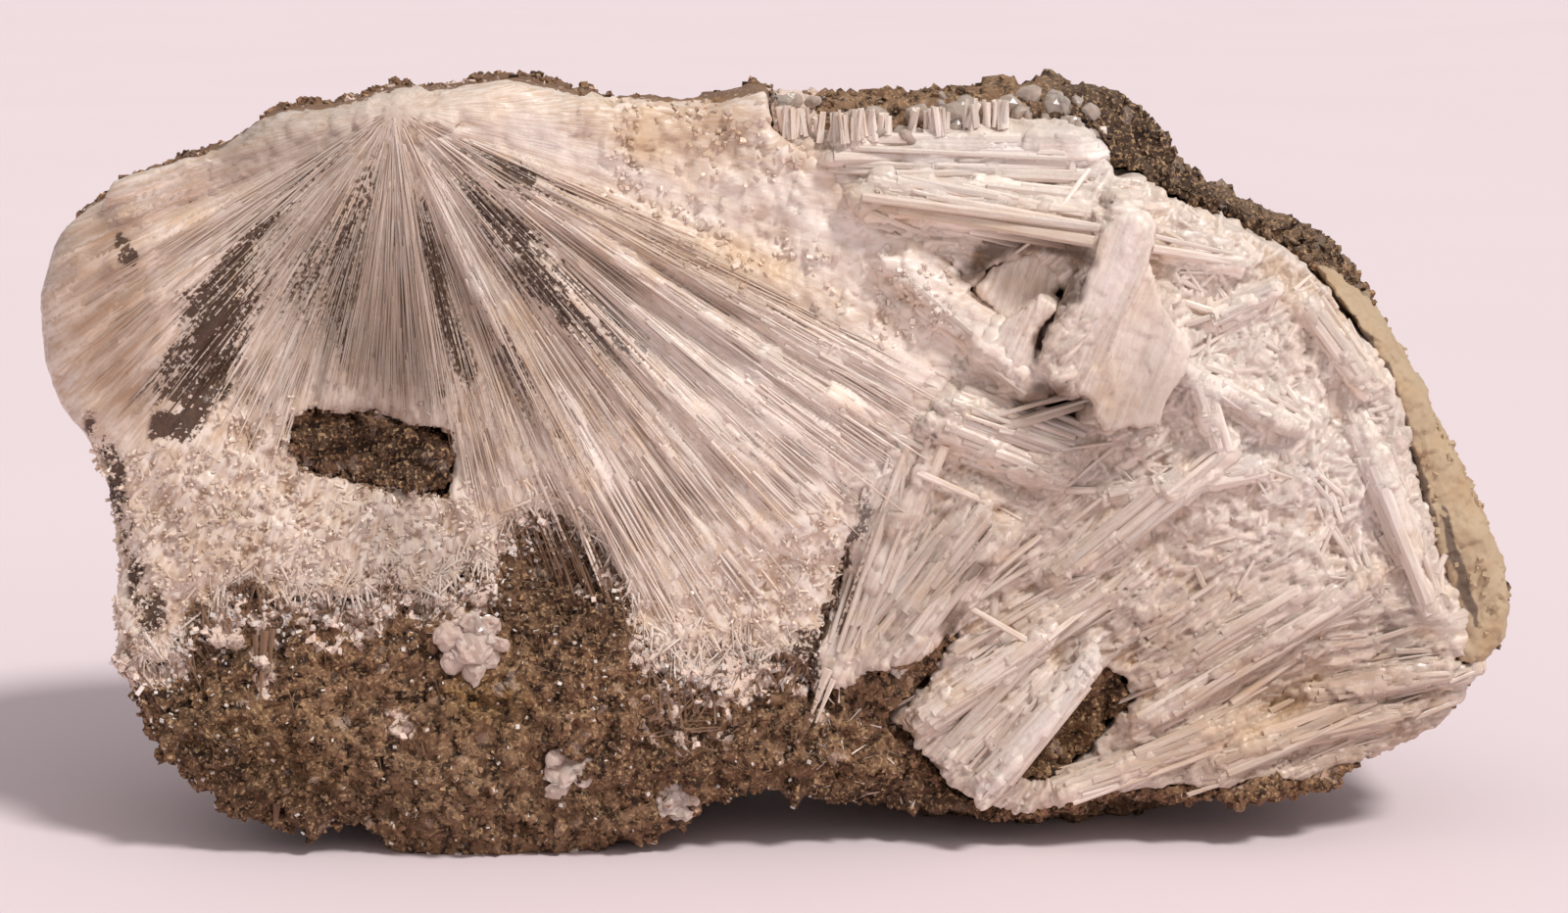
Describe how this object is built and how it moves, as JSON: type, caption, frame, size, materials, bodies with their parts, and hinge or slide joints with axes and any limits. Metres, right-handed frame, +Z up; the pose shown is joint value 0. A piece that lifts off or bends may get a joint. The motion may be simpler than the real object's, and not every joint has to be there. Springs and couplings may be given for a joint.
{
  "type": "mineral specimen",
  "caption": "Hand specimen of white radiating strontianite crystals on grey-brown host rock, with a small blade-walled cavity and a weathered rind; stands on its flat feet.",
  "frame": {"origin": "middle of the bounding box's base, on the ground the specimen stands on", "axes": "+X along its length, to the right as the crystal face is seen; the crystal face looks along -Y; +Z up"},
  "size_m": [0.1535, 0.058, 0.0805],
  "materials": {
    "host_rock": "rough",
    "fibrous_strontianite": "satin",
    "bladed_strontianite": "satin",
    "weathered_rind": "matte"
  },
  "bodies": {
    "root": {"host_rock": "host_rock", "left_spray": "fibrous_strontianite", "right_spray": "bladed_strontianite", "weathered_rind": "weathered_rind", "rosette_low": "bladed_strontianite", "rosette_mid": "bladed_strontianite", "rosette_high": "bladed_strontianite"}
  },
  "joints": []
}
